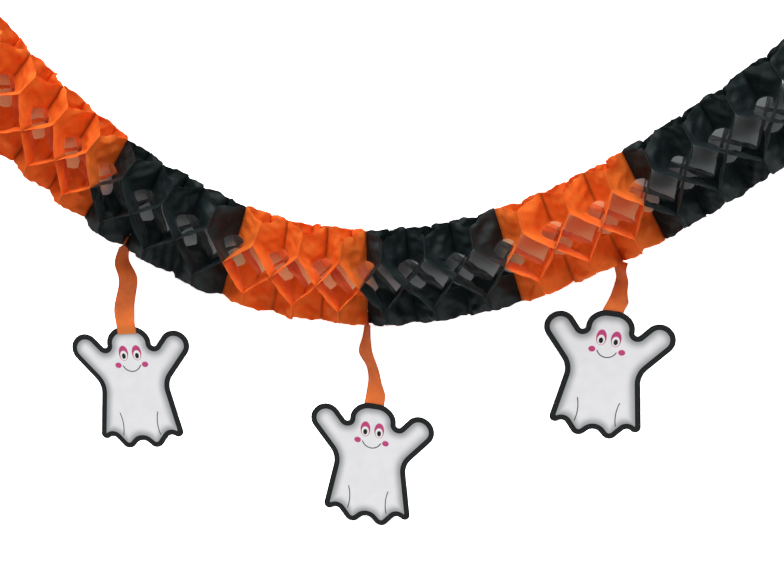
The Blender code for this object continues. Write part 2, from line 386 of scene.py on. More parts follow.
def ribbon_finish(tint, glow):
    """Dyed paper strip: shallow creases, edges a little darker, and painted light that makes it paler towards
    the card.
    """
    finish = Finish("ribbon_paper")
    across = finish.attribute("across")
    down = finish.attribute("down")
    cloudy = finish.noise(70, detail=4, roughness=0.6)
    wear = finish.noise(420, roughness=0.6)
    light = tuple(min(1, channel * by) for channel, by in zip(tint, WORN_AND_LIT_BY))
    dye = finish.mix(finish.between(cloudy, 0.3, 0.7), darker(tint, 0.82), tint)
    # painted light: the lower part of the drop and the lap behind the card are lighter
    dye = finish.mix(finish.between(down, 0.62, 1.0, to_high=0.55), dye, light)
    dye = finish.mix(finish.between(across, 0.90, 0.99, to_high=0.45), dye, darker(tint, 0.45))
    dye = finish.mix(finish.between(wear, 0.58, 0.75, to_high=0.25), dye, light)
    height = finish.cells(55) * 0.8 + finish.noise(800, roughness=0.6) * 0.1
    normal = finish.bump(height, strength=0.5, distance=0.0009)
    shader = finish.principled(dye, roughness=0.62, normal=normal)
    return finish.surface(finish.blend(glow, shader, finish.translucent(dye, normal)))


def board_finish(tint):
    """Uncoated board: pulp fibres, faint specks and a soft tooth."""
    finish = Finish("end_card_board")
    fibres = finish.noise(1400, detail=5, roughness=0.65, distortion=0.6)
    cloudy = finish.noise(30, detail=4, roughness=0.55)
    specks = finish.noise(2600, detail=2)
    pulp = finish.mix(finish.between(cloudy, 0.3, 0.7), darker(tint, 0.88), tint)
    pulp = finish.mix(finish.between(fibres, 0.40, 0.70, to_high=0.5), pulp, darker(tint, 0.72))
    pulp = finish.mix(finish.between(specks, 0.70, 0.78, to_high=0.6), pulp, darker(tint, 0.35))
    normal = finish.bump(fibres + cloudy * 0.5, strength=0.35, distance=0.0003)
    roughness = finish.between(fibres, 0.3, 0.7, 0.78, 0.92)
    return finish.surface(finish.principled(pulp, roughness, normal))


# The print, in metres from the top of the head. An oval is how far out and how high its middle is, its
# half width and half height, and its ink. A stroke is the middle and radius of a circle, the width of its
# line and the height below which it is drawn.
FACE_OVALS = (
    (0.0178, -0.0495, 0.0042, 0.0036, "accent"),
    (0.0088, -0.0340, 0.0062, 0.0098, "accent"),
    (0.0088, -0.0370, 0.0046, 0.0062, "eye"),
    (0.0088, -0.0378, 0.0026, 0.0036, "dark"),
)
EYE_WHITE = (0.85, 0.85, 0.85)
SHADE_GREY = (0.22, 0.24, 0.25)
SHADE_FALL = 1.6  # how fast the grey shade fades inwards
SHADE_MOST = 0.78
SMILE = (0, -0.0455, 0.0125, 0.0013, -0.0500)
FOLD = (0.075, -0.128, 0.052, 0.0012, -0.112)
SLEEVE = (0.056, -0.068, 0.022, 0.0012, -0.071)
SLEEVE_AT = 0.047  # a sleeve is also drawn only near this distance from the middle line
SLEEVE_REACH = 0.008
OVAL_SOFT = (0.97, 1.03)  # shares of an oval's size between which it ends
LINE_SOFT = (0.42, 0.58)  # shares of a line's width, from its middle, between which it ends
LINES_SOFT = (0.001, 0.004)  # distances from the border between which lines fade in
PRINT_BLUR = 0.0003  # over which a printed line's end fades
BORDER_BLUR = 0.0002


def ghost_finish(card):
    """Coated white card with a printed ghost: dark border, grey shade inside it, and a simple face.

    The print reads three of the card's own attributes: the distance to its cut edge, and the place
    across and down the card, all in metres.
    """
    finish = Finish("printed_card")
    inset = finish.attribute("inset")
    x = finish.attribute("print_x")
    z = finish.attribute("print_z")

    def oval(at_x, at_z, half_width, half_height):
        """1 inside an upright oval and 0 outside."""
        far = (((x - at_x) / half_width) ** 2 + ((z - at_z) / half_height) ** 2).root()
        return finish.between(far, *OVAL_SOFT, 1, 0)

    def under(level, value, blur=PRINT_BLUR):
        """1 where the value is under the level and 0 above it."""
        return finish.between(value, level - blur, level + blur, 1, 0)

    def stroke(at_x, at_z, radius, width, level):
        """The line of a circle, as far as it is below a level."""
        far = ((x - at_x) ** 2 + (z - at_z) ** 2).root()
        return finish.between(abs(far - radius) / width, *LINE_SOFT, 1, 0) * under(level, z)

    body = finish.mix(finish.between(finish.noise(60), 0.3, 0.7), darker(card.white, 0.96), card.white)
    shade = finish.between(inset, card.border, card.border + card.shade, 1, 0)
    body = finish.mix(shade**SHADE_FALL * SHADE_MOST, body, SHADE_GREY)
    inner = finish.between(inset - card.border, *LINES_SOFT)
    inks = {"accent": card.accent, "eye": EYE_WHITE, "dark": card.dark}
    for side in (-1, 1):
        for out, high, half_width, half_height, which in FACE_OVALS:
            body = finish.mix(oval(side * out, high, half_width, half_height), body, inks[which])
        sleeve = stroke(side * SLEEVE[0], *SLEEVE[1:]) * under(SLEEVE_REACH, abs(x - side * SLEEVE_AT))
        for line in (sleeve, stroke(side * FOLD[0], *FOLD[1:])):
            body = finish.mix(line * inner, body, card.dark)
    body = finish.mix(stroke(*SMILE), body, card.dark)
    ink = finish.mix(under(card.border, inset, BORDER_BLUR), body, card.dark)
    normal = finish.bump(finish.noise(500), strength=0.12, distance=0.0003)
    coat = {"Specular IOR Level": 0.15, "Coat Weight": 0.02, "Coat Roughness": 0.3}
    return finish.surface(finish.principled(ink, roughness=0.5, normal=normal, more=coat))


def wall_finish():
    """Matt white that lets light pass from behind, so that the back of the garland is lit and seen."""
    finish = Finish("backdrop_paint")
    seen, passed, shadow = (
        finish.node("LightPath", output=f"Is {ray} Ray") for ray in ("Camera", "Transmission", "Shadow")
    )
    behind = finish.node("NewGeometry", output="Backfacing")
    # painted shadow in the strip that the garland hides, warmed by painted orange light behind the orange
    # sections
    strip = finish.mix(finish.attribute("warm"), PAINTED_SHADOW_BEHIND_BLACK, PAINTED_SHADOW_BEHIND_ORANGE)
    bright = finish.mix(finish.attribute("hidden"), (WALL_BRIGHT,) * 3, strip)
    plain = finish.node("BsdfDiffuse", None, {"Color": (*WALL_PLAIN, 1)})
    paint = finish.blend(seen.larger(passed), plain, finish.node("BsdfDiffuse", None, {"Color": bright}))
    return finish.surface(finish.blend(behind.larger(shadow), paint, finish.node("BsdfTransparent")))


# Meshes

SHARP_ANGLE = math.radians(58)  # folds sharper than this aren't shaded smooth


def settings():
    return bpy.context.scene.garland


def new_piece(name, points, faces, finish, attributes, body="root"):
    """A mesh object from arrays of points and of faces, of four or three corners each."""
    mesh = bpy.data.meshes.new(name)
    mesh.from_pydata(points.reshape(-1, 3), [], faces)
    for key, values in attributes.items():
        layer = mesh.attributes.new(key, "FLOAT", "POINT")
        layer.data.foreach_set("value", values.astype(np.float32).ravel())
    mesh.validate()
    mesh.shade_smooth()
    mesh.set_sharp_from_angle(angle=SHARP_ANGLE)
    piece = bpy.data.objects.new(name, mesh)
    bpy.context.scene.collection.objects.link(piece)
    mesh.materials.append(finish)
    if body:
        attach(piece, body)
    return piece


def unit(vectors):
    return vectors / np.linalg.norm(vectors, axis=-1, keepdims=True)


def smooth(values):
    """A soft step from 0 to 1."""
    values = np.clip(values, 0, 1)
    return values * values * (3 - 2 * values)


def grid_faces(rows, columns, around=False, closed=False):
    """Quads in a grid; around joins its last column to the first, and closed its last row to the first."""
    index = np.arange(rows * columns).reshape(rows, columns)
    if around:
        index = np.concatenate([index, index[:, :1]], axis=1)
    if closed:
        index = np.concatenate([index, index[:1]])
    corners = (index[:-1, :-1], index[1:, :-1], index[1:, 1:], index[:-1, 1:])
    return np.stack(corners, axis=-1).reshape(-1, 4)


class HangingLine:
    """The garland's centre line. Height above its lowest point is sag x^2 - skew x^3 - ease x^4."""

    def __init__(self):
        self.line = settings().line
        self.x = np.linspace(-LINE_REACH, LINE_REACH, LINE_STEPS + 1)
        steps = np.hypot(np.diff(self.x), np.diff(self.height(self.x)))
        along = np.concatenate([[0.0], np.cumsum(steps)])
        self.along = along - np.interp(0, self.x, along) - self.line.middle_from_lowest
        point, facing, _ = self.frame(-PERIODS / 2)
        self.lowest = facing * (CAD_CLEARANCE / 2 + END_CARD_THICKNESS) - point

    def height(self, x):
        return self.line.sag * x**2 - self.line.skew * x**3 - self.line.ease * x**4

    def frame(self, seam):
        """Middle of the ring plane at a seam from the lowest point, the way it faces and the way up it."""
        wave = math.sin(2 * math.pi * (seam - UNEVEN_FROM) / UNEVEN_WAVE)
        station = seam * self.line.period + wave * self.line.unevenness
        x = float(np.interp(station, self.along, self.x))
        slope = 2 * self.line.sag * x - 3 * self.line.skew * x**2 - 4 * self.line.ease * x**3
        tilt = self.line.tilt * math.atan(slope)
        point = np.array((x, 0, self.height(x)))
        facing = np.array((math.cos(tilt), 0, math.sin(tilt)))
        return point, facing, np.array((-math.sin(tilt), 0, math.cos(tilt)))

    def plane(self, seam, offset, depth, height):
        """Points in a seam's plane, moved square to it by offset, in the garland's own frame."""
        point, facing, across = self.frame(seam)
        return (
            point
            + self.lowest
            + offset[..., None] * facing
            + height[..., None] * across
            + depth[..., None] * FRONT
        )


RING_STEPS_AROUND = 192
RING_ROWS = 16
GLUE_BITE = 0.00004  # how far two sheets sink into one another where they are glued
CREASE_SHADE_REACH = 0.10  # share of the way to the glue spots over which painted shade darkens a glued seam's crease
TAB_BLEND = 0.003  # over which the sheets part to take a ribbon's tab
TAB_SIDE = 1.5  # such stretches from the glued line to where the sheets meet again
RIDGE_ROUNDING = 0.14  # shares of the way to the glue spots over which a fold is rounded
SPOT_ROUNDING = 0.07
CRUMPLE_WAVES = 12
CRUMPLE_LONG = 0.045
CRUMPLE_SHORT = 0.009
CRUMPLE_FALL = 0.7  # how fast the waves get lower as they get shorter
CRUMPLE_MEAN = 0.64  # about a ridged wave's mean, which is taken off it
CRUMPLE_FADE = 0.7  # how sharply the waves fade out where the sheet is glued
HOLE_FLUTTER = 0.8  # how strong the waves are at the hole and at a loose rim
RIM_FLUTTER = 1.6
RIM_WOBBLE = 0.0009
RIM_WAVES = (3, 5, 8, 13, 21, 34)  # turns of the waves in a rim
RIM_WAVE_FALL = 0.25
RIM_HIGHLIGHT = 0.5  # how strongly the painted highlight shows along the rim's cut edge, where 1 is the hole's
TAUT_BELOW = 0.5  # heights, as shares of the half width, between which the rim goes from taut to loose
LOOSE_ABOVE = 0.85
TAUT_SHARE = 0.25
SEAM_PEAK = 0.0016  # how far the rim rises at its upper seam
SEAM_PEAK_WIDTH = 0.012


def rim_radius(angle, tissue):
    """Superellipse: a square with well rounded corners."""
    power = np.abs(np.cos(angle)) ** tissue.squareness + np.abs(np.sin(angle)) ** tissue.squareness
    return tissue.half_side / power ** (1 / tissue.squareness)


def cut_rim(random, angle, tissue):
    """The rim as it was cut, and how loose it hangs: taut at half height, and loose above and below.

    Sine waves in random phases are added to the superellipse, and a bell curve at the upper seam.
    """
    rim = rim_radius(angle, tissue)
    wobble = 0
    for turns in RIM_WAVES:
        wobble = wobble + np.sin(turns * angle + random.random() * 2 * np.pi) / turns**RIM_WAVE_FALL
    peak = np.exp(-((rim * np.cos(angle) / SEAM_PEAK_WIDTH) ** 2)) * (np.sin(angle) > 0)
    away = np.abs(rim * np.sin(angle)) / tissue.half_side
    loose = TAUT_SHARE + (1 - TAUT_SHARE) * smooth((away - TAUT_BELOW) / (LOOSE_ABOVE - TAUT_BELOW))
    return rim + RIM_WOBBLE * loose * wobble + SEAM_PEAK * peak, loose


def way_to_spots(depth, height, tissue):
    """Share of the way from the seam's plane to the glue spots' plane.

    It is min(|depth|, |height|) / spot_from and at most 1. Parabolas round the fold where the two are
    alike, and the edge where 1 is reached.
    """
    deep, high = np.abs(depth) / tissue.spot_from, np.abs(height) / tissue.spot_from
    near_ridge = np.clip(1 - np.abs(deep - high) / RIDGE_ROUNDING, 0, 1)
    nearest = np.minimum(deep, high) - near_ridge**2 * RIDGE_ROUNDING / 4
    over = np.clip(nearest - 1 + SPOT_ROUNDING, 0, 2 * SPOT_ROUNDING)
    return np.minimum(nearest, 1 + SPOT_ROUNDING) - over**2 / (4 * SPOT_ROUNDING)


def tab_room(depth, height, tissue, ribbon):
    """Half of the gap that a ribbon's tab needs between two rings, which ends softly around the tab."""
    beside_line = np.clip(TAB_SIDE - np.abs(depth) / TAB_BLEND, 0, 1)
    low_down = np.clip(1 + (-height - tissue.half_side + ribbon.tab) / TAB_BLEND, 0, 1)
    return beside_line * low_down * (ribbon.thickness - GLUE_BITE) / 2


def crumple(random, depth, height):
    """Sum of ridged waves |sin(k.p + phase)| in random directions, about -1 to 1."""
    total = np.zeros_like(depth)
    for _ in range(CRUMPLE_WAVES):
        wave = CRUMPLE_SHORT * (CRUMPLE_LONG / CRUMPLE_SHORT) ** random.random()
        way = random.random() * math.pi
        phase = random.random() * 2 * math.pi
        ridge = np.abs(np.sin(math.pi / wave * (depth * math.cos(way) + height * math.sin(way)) + phase))
        total += (CRUMPLE_MEAN - ridge) * (wave / CRUMPLE_LONG) ** CRUMPLE_FALL
    return total


def tissue_ring(name, line, seam, spot, carries_ribbon, finish):
    """A ring of tissue, drawn to and fro between its seam plane and its neighbour's glue spots.

    An angle runs round the ring and a share from the hole to the rim. Each point goes its share of the way
    from the one plane to the other. Ridged waves are added square to the sheet, and fade out where it is
    glued.
    """
    tissue = settings().tissue
    random = np.random.default_rng(int(name[-2:]))
    angle = np.arange(RING_STEPS_AROUND) * 2 * np.pi / RING_STEPS_AROUND
    share_out = np.linspace(0, 1, RING_ROWS)[:, None]
    rim, loose = cut_rim(random, angle, tissue)
    radius = tissue.hole + share_out * (rim - tissue.hole)
    depth = radius * np.cos(angle)
    height = radius * np.sin(angle)
    side = math.copysign(1, spot - seam)
    skin = (tissue.thickness - GLUE_BITE) / 2
    seam_skin = skin + carries_ribbon * tab_room(depth, height, tissue, settings().ribbon)
    reach = way_to_spots(depth, height, tissue)
    at_seam = line.plane(seam, side * seam_skin, depth, height)
    at_spot = line.plane(spot, np.full(depth.shape, -side * skin), depth, height)
    middle = at_seam + reach[..., None] * (at_spot - at_seam)
    across_rows = np.gradient(middle, axis=0)
    across_turns = (np.roll(middle, -1, axis=1) - np.roll(middle, 1, axis=1)) / 2
    normal = unit(np.cross(across_turns, across_rows))
    free = np.clip(4 * reach * (1 - reach), 0, 1) ** CRUMPLE_FADE
    flutter = HOLE_FLUTTER + share_out**2 * (RIM_FLUTTER * loose - HOLE_FLUTTER)
    bend = tissue.crumple * flutter * free * crumple(random, depth, height)
    middle = middle + bend[..., None] * normal
    half = tissue.thickness / 2 * normal
    # painted highlight along the cut edges: full at the hole and less at the rim
    cut = np.zeros_like(reach)
    cut[0] = 1
    cut[-1] = RIM_HIGHLIGHT
    # the glued seams get painted shade, and the cut edges a painted highlight
    values = {"glued": np.clip(1 - reach / CREASE_SHADE_REACH, 0, 1), "cut_edge": cut, "deep": depth, "high": height}
    attributes = {key: np.concatenate([value, value[::-1]]) for key, value in values.items()}
    points = np.concatenate([middle + half, (middle - half)[::-1]])
    faces = grid_faces(2 * RING_ROWS, RING_STEPS_AROUND, around=True, closed=True)[:, ::-1]
    piece = new_piece(name + "_sheet", points, faces, finish, attributes)
    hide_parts(name)


def card_axes(hanger):
    """The way a card's front looks and the way up it."""
    turned = math.radians(hanger.turned)
    swing = math.radians(hanger.swing)
    level = np.array((abs(math.cos(turned)), math.copysign(1, math.cos(turned)) * math.sin(turned), 0))
    front = np.array((math.sin(turned), -math.cos(turned), 0))
    return front, math.cos(swing) * UP - math.sin(swing) * level


def hanging_points(line, hanger):
    """The rim point that carries a hanger, the way up its ring plane, and the card's top."""
    point, _, across = line.frame(hanger.seam)
    rim = point + line.lowest - across * settings().tissue.half_side
    return rim, across, rim + np.array((hanger.drift, 0, -hanger.drop))


RIBBON_ROWS = 110
TAB_ROWS = 8
LAP_ROWS = 5
RIBBON_COLUMNS = 9
FLAT_FROM = 0.7  # share of the drop from which the ribbon takes the card's direction
HALF_WAVES = 2.8  # half waves in the drop
WAVE_FADE = 0.8  # how sharply they fade out at its ends
WAVE_SHIFT = 1.7  # radians from one seam's wave to the next
CURL = 0.0006  # how far the ribbon's edges curl
CURL_TURN = 9  # radians of the curl's wave in the drop


def through(values, share):
    """A smooth curve through evenly spaced values, by Catmull and Rom's cubics."""
    values = np.array((2 * values[0] - values[1], *values, 2 * values[-1] - values[-2]))
    place = share * (len(values) - 3)
    first = np.minimum(place.astype(int), len(values) - 4)
    past = place - first
    a, b, c, d = (values[first + step] for step in range(4))
    return b + past / 2 * (c - a + past * (2 * a - 5 * b + 4 * c - d + past * (3 * (b - c) + d - a)))


def ribbon_path(line, hanger):
    """The middle of a ribbon from its tab to its lap, the way across it, and the share of the drop there.

    The drop is a cubic curve from the rim to the card, to which the hanger's sway is added. The strip
    turns by the hanger's twist and takes the card's direction at its end.
    """
    paper, card = settings().ribbon, settings().card
    rim, across, top = hanging_points(line, hanger)
    front, up = card_axes(hanger)
    lap = top - front * (card.thickness + CAD_CLEARANCE + paper.thickness / 2)
    third = np.linalg.norm(rim - lap) / 3
    leaving = unit(np.array((hanger.lean, 0, 0)) - UP) * third
    at_card = np.cross(up, front)
    at_card = at_card * math.copysign(1, at_card[0])
    t = np.linspace(0, 1, RIBBON_ROWS)[:, None]
    s = 1 - t
    drop = s**3 * rim + 3 * s * s * t * (rim + leaving) + 3 * s * t * t * (lap + up * third) + t**3 * lap
    drop = drop + through(hanger.sway, t) * RIGHT
    twist = np.radians(through(hanger.twist, t))
    width = np.cos(twist) * RIGHT + np.sin(twist) * FRONT
    width = unit(width + smooth((t - FLAT_FROM) / (1 - FLAT_FROM)) * (at_card - width))
    tab = np.linspace(1, 0, TAB_ROWS, endpoint=False)[:, None]
    lapped = np.linspace(0, 1, LAP_ROWS + 1)[1:, None]
    path = np.concatenate([rim + across * paper.tab * tab, drop, lap - up * paper.lap * lapped])
    width = np.concatenate([np.tile(FRONT, (TAB_ROWS, 1)), width, np.tile(at_card, (LAP_ROWS, 1))])
    level = np.concatenate([np.zeros(TAB_ROWS), t[:, 0], np.ones(LAP_ROWS)])
    return path, width, level


def strip_faces(rows):
    """Quads of a strip whose rows run across its front and back over its other side, with closed ends."""
    around = 2 * RIBBON_COLUMNS
    near = np.arange(RIBBON_COLUMNS - 1)
    far = around - 1 - near
    cap = np.stack([near, near + 1, far - 1, far], axis=-1)
    return np.concatenate([grid_faces(rows, around, around=True), cap, cap[:, ::-1] + (rows - 1) * around])


def paper_ribbon(line, hanger, finish):
    """A paper strip: a tab between two rings, a twisting and waving drop and a lap behind the card.

    A sine wave square to the strip is added to its path, and a parabola across it curls its edges.
    """
    paper = settings().ribbon
    path, width, level = ribbon_path(line, hanger)
    square = unit(np.cross(np.gradient(path, axis=0), width))
    free = np.sin(np.pi * level) ** WAVE_FADE
    phase = hanger.seam * WAVE_SHIFT
    wave = np.sin(level * HALF_WAVES * np.pi + phase) * free * paper.wave
    path = path + wave[:, None] * square
    curl = CURL * np.sin(level * CURL_TURN + phase) * free
    columns = np.linspace(-1, 1, RIBBON_COLUMNS)
    sideways = columns[None, :, None] * paper.width / 2 * width[:, None]
    middle = path[:, None] + sideways + (curl[:, None] * columns**2)[..., None] * square[:, None]
    half = square[:, None] * paper.thickness / 2
    points = np.concatenate([middle + half, (middle - half)[:, ::-1]], axis=1).reshape(-1, 3)
    both = np.abs(np.concatenate([columns, columns[::-1]]))
    attributes = {"across": np.tile(both, len(path)), "down": np.repeat(level, len(both))}
    name = f"ribbon_{hanger.name}"
    faces = strip_faces(len(path))
    piece = new_piece(name + "_strip", points, faces, finish, attributes)
    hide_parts(name)


ARC_STEP = math.radians(6)  # turn from one point of an arc to the next
MOST_OF_SIDE = 0.98  # how much of a side the arcs at its ends may take
HEM_LOBES = 4
BROW = (0.55, 0.48)  # where the head's side turns into its top, as shares of its radius
BROW_ROUNDING = 0.8
PRINT_STEP = 0.0016  # from one point of a card's net to the next
CARD_CURL = 0.5  # how strongly a card bows forward towards its sides, for each metre
SAME_POINT = 1e-5
INSIDE_OUTLINE = 1  # the triangulation's own number for triangles inside the outline only
TRIANGLE_SLACK = 1e-7


def rounded(corners):
    """A closed outline whose corners (x, z, radius) are arcs. Two that would meet both shrink."""
    corners = np.array(corners)
    points = corners[:, :2]
    after = np.roll(points, -1, axis=0) - points
    long_after = np.linalg.norm(after, axis=1)
    ahead = after / long_after[:, None]
    back = -np.roll(ahead, 1, axis=0)
    half = np.arccos(np.clip(np.sum(ahead * back, axis=1), -1, 1)) / 2
    cut = corners[:, 2] / np.tan(half)
    fits_after = MOST_OF_SIDE * long_after / (cut + np.roll(cut, -1))
    cut = cut * np.minimum(np.minimum(fits_after, np.roll(fits_after, 1)), 1)
    outline = []
    for k, point in enumerate(points):
        inward = ahead[k] + back[k]
        centre = point + inward / np.linalg.norm(inward) * cut[k] / math.cos(half[k])
        start, end = point + back[k] * cut[k] - centre, point + ahead[k] * cut[k] - centre
        sweep = math.atan2(start[0] * end[1] - start[1] * end[0], start @ end)
        steps = max(1, round(abs(sweep) / ARC_STEP))
        turn = sweep * np.arange(steps + 1) / steps
        x = start[0] * np.cos(turn) - start[1] * np.sin(turn)
        z = start[0] * np.sin(turn) + start[1] * np.cos(turn)
        outline.append(centre + np.stack([x, z], axis=1))
    return np.concatenate(outline)


def ghost_outline():
    """The ghost's outline, with the top of its head at the origin."""
    card = settings().card
    arm = np.array((math.cos(card.rise), math.sin(card.rise)))
    square = np.array((-arm[1], arm[0])) * card.arm
    hand = np.array((card.arm_span / 2 - card.arm, -card.hand_drop))
    upper, lower = hand + square, hand - square
    crook = upper - arm * (upper[0] - card.head) / arm[0]
    armpit = lower - arm * (lower[0] - card.waist / 2) / arm[0]
    right = [
        (card.head * BROW[0], 0, card.head),
        (card.head, -card.head * BROW[1], card.head * BROW_ROUNDING),
        (*crook, card.crook),
        (*(upper + arm * card.arm), card.arm),
        (*(lower + arm * card.arm), card.arm),
        (*armpit, card.armpit),
    ]
    left = [(-x, z, radius) for x, z, radius in reversed(right)]
    steps = 2 * HEM_LOBES - 2
    hem = []
    for step in range(steps + 1):
        across = 1 - 2 * step / steps
        fall = card.length - card.hem_curve * across**2 - card.hem_wave * (step % 2)
        hem.append((across * card.hem / 2, -fall, card.hem_radius))
    return rounded(right + hem + left)


def distance_inside(points, outline):
    """Distance from each point to the nearest side of a closed outline, and whether it lies inside."""
    start, end = outline, np.roll(outline, -1, axis=0)
    side = end - start
    reach = points[:, None] - start
    share_along = np.sum(reach * side, axis=2) / np.sum(side * side, axis=1)
    nearest = reach - np.clip(share_along, 0, 1)[..., None] * side
    distance = np.linalg.norm(nearest, axis=2).min(axis=1)
    above = (start[:, 1] > points[:, None, 1]) != (end[:, 1] > points[:, None, 1])
    with np.errstate(divide="ignore", invalid="ignore"):
        crossing = start[:, 0] + (points[:, None, 1] - start[:, 1]) * side[:, 0] / side[:, 1]
    inside = np.sum(above & (points[:, None, 0] < crossing), axis=1) % 2 == 1
    return distance, inside


def card_layout():
    """Points on the outline and inside it, their distances from it, triangles, and how many are on it."""
    outline = ghost_outline()
    keep = np.linalg.norm(outline - np.roll(outline, 1, axis=0), axis=1) > SAME_POINT
    outline = outline[keep]
    low, high = outline.min(axis=0), outline.max(axis=0)
    x, z = np.meshgrid(np.arange(low[0], high[0], PRINT_STEP), np.arange(low[1], high[1], PRINT_STEP))
    x = x + (np.arange(len(x)) % 2)[:, None] * PRINT_STEP / 2
    net = np.stack([x.ravel(), z.ravel()], axis=1)
    distance, inside = distance_inside(net, outline)
    net = net[inside & (distance > PRINT_STEP / 2)]
    points = np.concatenate([outline, net])
    around = list(range(len(outline)))
    made = delaunay_2d_cdt([Vector(p) for p in points], [], [around], INSIDE_OUTLINE, TRIANGLE_SLACK)
    if len(made[0]) != len(points):
        raise RuntimeError("the ghost's outline crosses itself")
    return points, distance_inside(points, outline)[0], np.array(made[2]), len(outline)


def ghost_card(line, hanger, layout, finish):
    """A flat printed card with two faces and a cut edge, bowed a little about its upright middle line."""
    card = settings().card
    _, _, top = hanging_points(line, hanger)
    front, up = card_axes(hanger)
    right = np.cross(up, front)
    flat, inset, triangles, rim = layout
    count = len(flat)
    face = flat[:, 0, None] * right + flat[:, 1, None] * up
    bow = CARD_CURL * flat[:, 0] ** 2
    layers = [top + face + (bow - depth)[:, None] * front for depth in (0, card.thickness)]
    loop = np.arange(rim)
    beside = np.roll(loop, -1)
    edge = np.stack([loop, beside, beside + count, loop + count], axis=-1)
    faces = [tuple(corners) for part in (triangles, triangles[:, ::-1] + count, edge) for corners in part]
    attributes = {
        "inset": np.tile(inset, 2),
        "print_x": np.tile(flat[:, 0], 2),
        "print_z": np.tile(flat[:, 1], 2),
    }
    name = f"ghost_card_{hanger.name}"
    piece = new_piece(name + "_print", np.concatenate(layers), faces, finish, attributes)
    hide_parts(name)


# Operators


class GARLAND_OT_tissue(bpy.types.Operator):
    """Make the tissue rings"""

    bl_idname = "garland.tissue"
    bl_label = "Tissue rings"

    def execute(self, context):
        tissue = settings().tissue
        finishes = {
            "orange": tissue_finish("orange", tuple(tissue.orange), tissue.glow),
            "black": tissue_finish("black", tuple(tissue.black), 0),
        }
        line = HangingLine()
        hung = {hanger.seam for hanger in HANGERS}
        rings = [name for name in frame["nodes"] if "_ring_" in name]
        rings.sort(key=lambda name: name[-2:])
        if len(rings) != 2 * PERIODS:
            raise RuntimeError(f"{2 * PERIODS} rings were expected")
        for place, name in enumerate(rings):
            first = place // 2 - PERIODS // 2
            seam = first + place % 2
            dye = name.split("_")[0]
            tissue_ring(name, line, seam, first + 0.5, seam in hung, finishes[dye])
        return {"FINISHED"}


class GARLAND_OT_end_cards(bpy.types.Operator):
    """Give the two end cards their board"""

    bl_idname = "garland.end_cards"
    bl_label = "End cards"

    def execute(self, context):
        finish = board_finish(tuple(settings().card.board))
        for side in ("left", "right"):
            materials = frame["nodes"][f"end_card_{side}"].data.materials
            materials.clear()
            materials.append(finish)
        return {"FINISHED"}


class GARLAND_OT_ribbons(bpy.types.Operator):
    """Make the paper ribbons"""

    bl_idname = "garland.ribbons"
    bl_label = "Paper ribbons"

    def execute(self, context):
        ribbon = settings().ribbon
        finish = ribbon_finish(tuple(ribbon.paper), ribbon.glow)
        line = HangingLine()
        for hanger in HANGERS:
            paper_ribbon(line, hanger, finish)
        return {"FINISHED"}


class GARLAND_OT_ghost_cards(bpy.types.Operator):
    """Make the printed ghost cards"""

    bl_idname = "garland.ghost_cards"
    bl_label = "Ghost cards"

    def execute(self, context):
        finish = ghost_finish(settings().card)
        line = HangingLine()
        layout = card_layout()
        for hanger in HANGERS:
            ghost_card(line, hanger, layout, finish)
        return {"FINISHED"}


# Soft lamps: the place, counted from the garland's middle, the side's length and the power in watts
LAMPS = {
    "top_lamp": ((0.0, -0.8, 2.0), 1.6, 38),
    "key_lamp": ((-1.35, -1.25, 1.45), 1.2, 24),
    "fill_lamp": ((1.7, -1.2, 1.1), 1.6, 21),
    "back_lamp": ((0.3, 2.1, 0.8), 2.2, 16),
}
WORLD_STRENGTH = 0.06
WALL_HALF_WIDTH = 1.3
WALL_HEIGHT = 2.1
FLOOR_DEPTH = 1.7
COVE_RADIUS = 0.35
COVE_STEPS = 25
WALL_FINE_HALF = (0.70, 0.36)  # how far the fine part of the wall's mesh goes sideways and up
WALL_FINE_STEP = 0.006
WALL_PLAIN = (0.82, 0.82, 0.82)  # the wall's white, as it lights the garland
WALL_BRIGHT = 3.0  # the wall's brightness as seen, so that its lit part is white
PAINTED_SHADOW_BEHIND_BLACK = (0.42, 0.45, 0.46)  # painted shadow: the wall's colour as seen in the strip that the garland hides, behind black
PAINTED_SHADOW_BEHIND_ORANGE = (1.15, 0.70, 0.37)  # painted shadow warmed by painted orange light behind the orange sections, standing in for light through the orange tissue
HIDDEN_STEPS = 161  # points along the strip
HIDDEN_REACH = 0.034
HIDDEN_FADE = 0.010
SECTION_PERIODS = 3  # periods in an inner colour section, which changes at the middle seam
SECTION_CHANGE = 3  # how sharply the colour behind changes there
LAST_CHANGE = 7.5  # seams beyond which it stays as it is


def aimed(name, data, place, back):
    """A lamp or camera at a place, which looks against the way back."""
    made = bpy.data.objects.new(name, data)
    made.location = place
    made.rotation_mode = "QUATERNION"
    made.rotation_quaternion = back.to_track_quat("Z", "Y")
    bpy.context.scene.collection.objects.link(made)
    return made


def soft_lamp(name, middle, place, size, power):
    """A square soft lamp at a place counted from the garland's middle, turned towards it."""
    light = bpy.data.lights.new(name, "AREA")
    light.size = size
    light.energy = power
    aimed(name, light, middle + Vector(place), Vector(place))


def backdrop_points(middle, wall_y, floor_z):
    """Points along a line, a quarter circle and a line, which are wall, cove and floor, row by row."""
    turn = np.linspace(0, np.pi / 2, COVE_STEPS)
    cove_y = wall_y - COVE_RADIUS + COVE_RADIUS * np.cos(turn)
    cove_z = floor_z + COVE_RADIUS - COVE_RADIUS * np.sin(turn)
    down = np.arange(middle.z + WALL_FINE_HALF[1], floor_z + COVE_RADIUS, -WALL_FINE_STEP)
    y = np.concatenate([np.full(1 + len(down), wall_y), cove_y, [wall_y - FLOOR_DEPTH]])
    z = np.concatenate([[floor_z + WALL_HEIGHT], down, cove_z, [floor_z]])
    sideways = np.arange(-WALL_FINE_HALF[0], WALL_FINE_HALF[0], WALL_FINE_STEP)
    x = np.concatenate([[-WALL_HALF_WIDTH], sideways, [WALL_HALF_WIDTH]]) + middle.x
    return np.stack(np.broadcast_arrays(x, y[:, None], z[:, None]), axis=-1)


